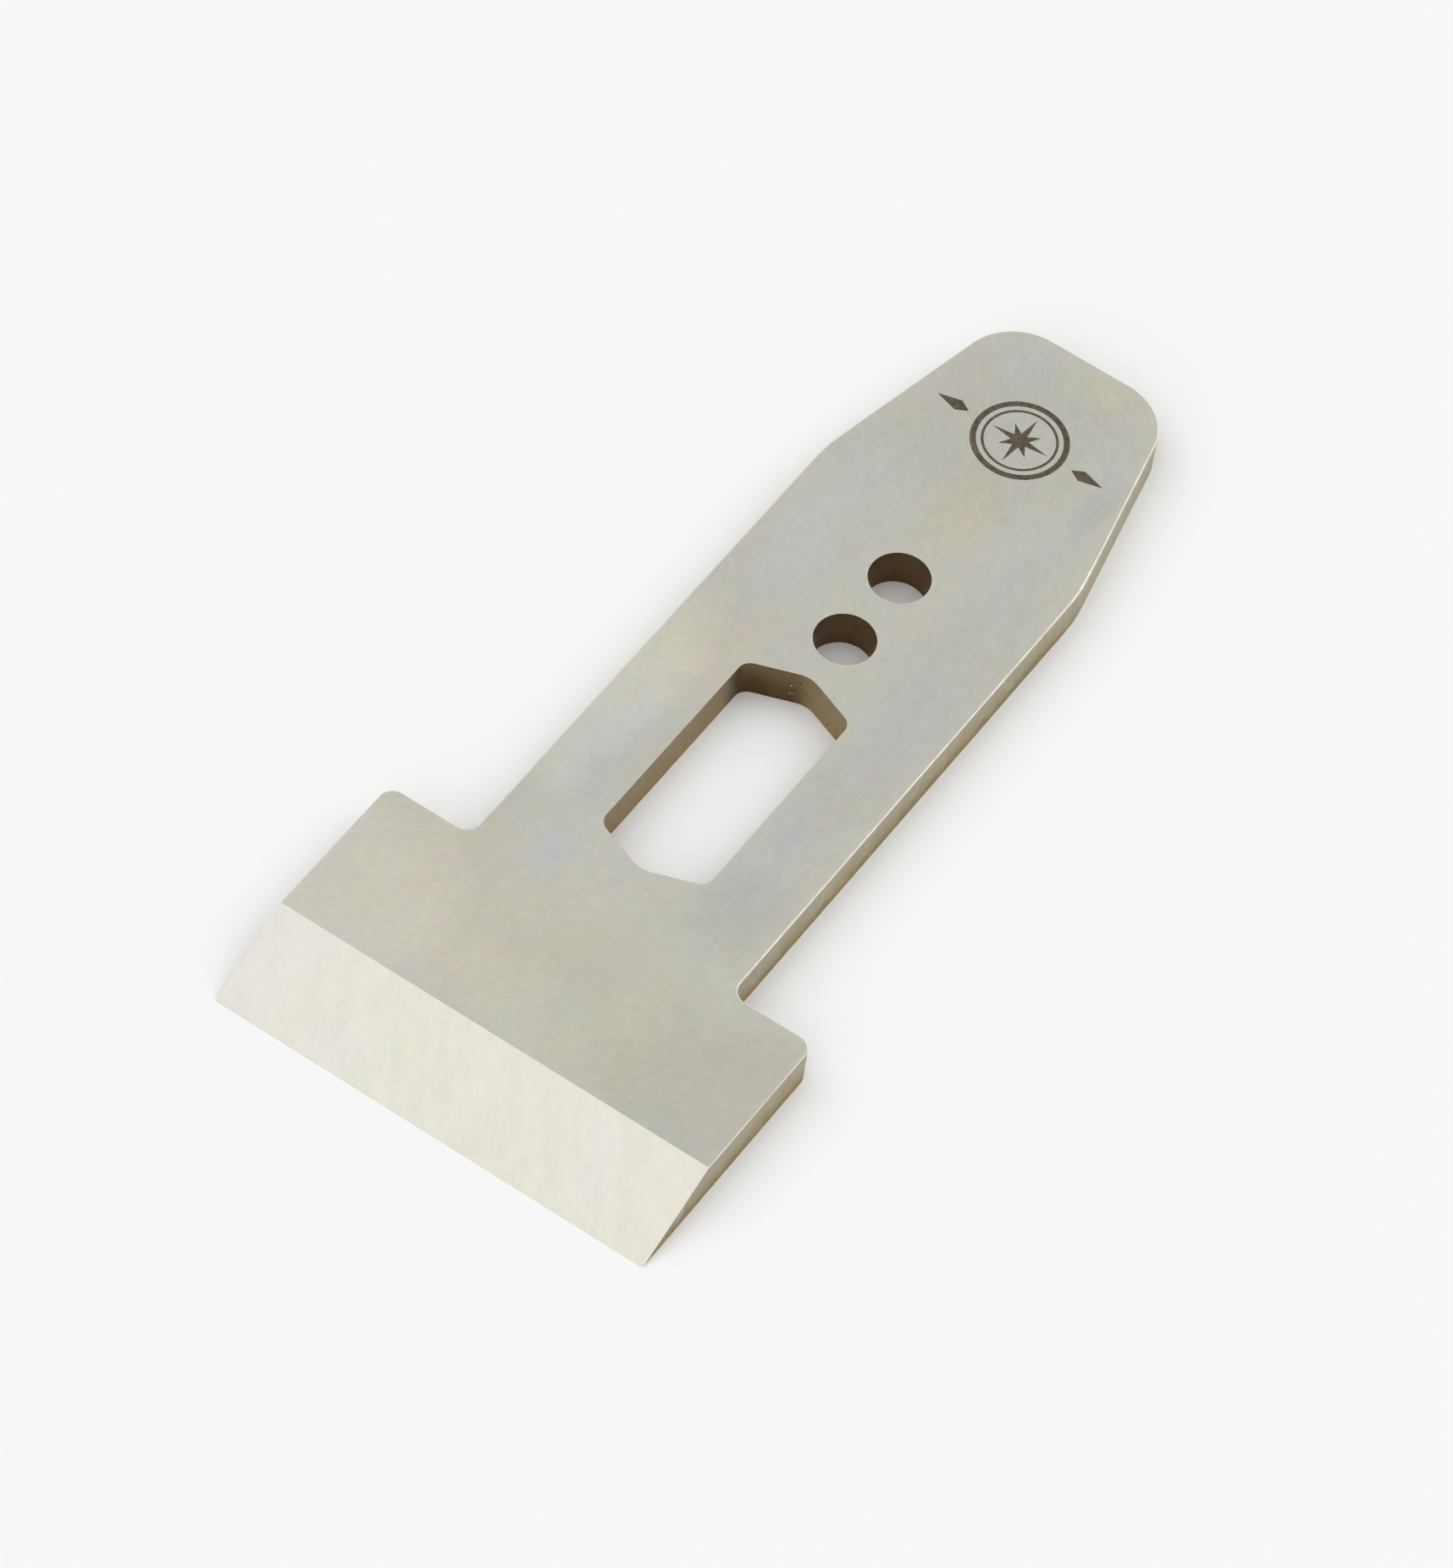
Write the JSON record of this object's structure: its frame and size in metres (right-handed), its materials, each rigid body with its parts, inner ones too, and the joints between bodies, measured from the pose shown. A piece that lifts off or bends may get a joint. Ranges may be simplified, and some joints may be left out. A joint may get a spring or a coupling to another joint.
{
  "type": "plane iron",
  "caption": "T-shaped plane iron: a thick ground steel cutter with a single bevel across its wide head, a hexagonal screw window, adjuster pin holes and a tapered, rounded tang.",
  "frame": {"origin": "middle of the flat back's bounding box, on the back face", "axes": "+Y along the iron from the cutting edge to the tang, +X across it, +Z out of the bevelled side"},
  "size_m": [0.0508, 0.1174, 0.0048],
  "materials": {
    "tool_steel": "ground satin faces, brighter bevel, brown heat-treatment scale on the cut edges"
  },
  "bodies": {
    "root": {"plane_iron": "tool_steel"}
  },
  "joints": []
}
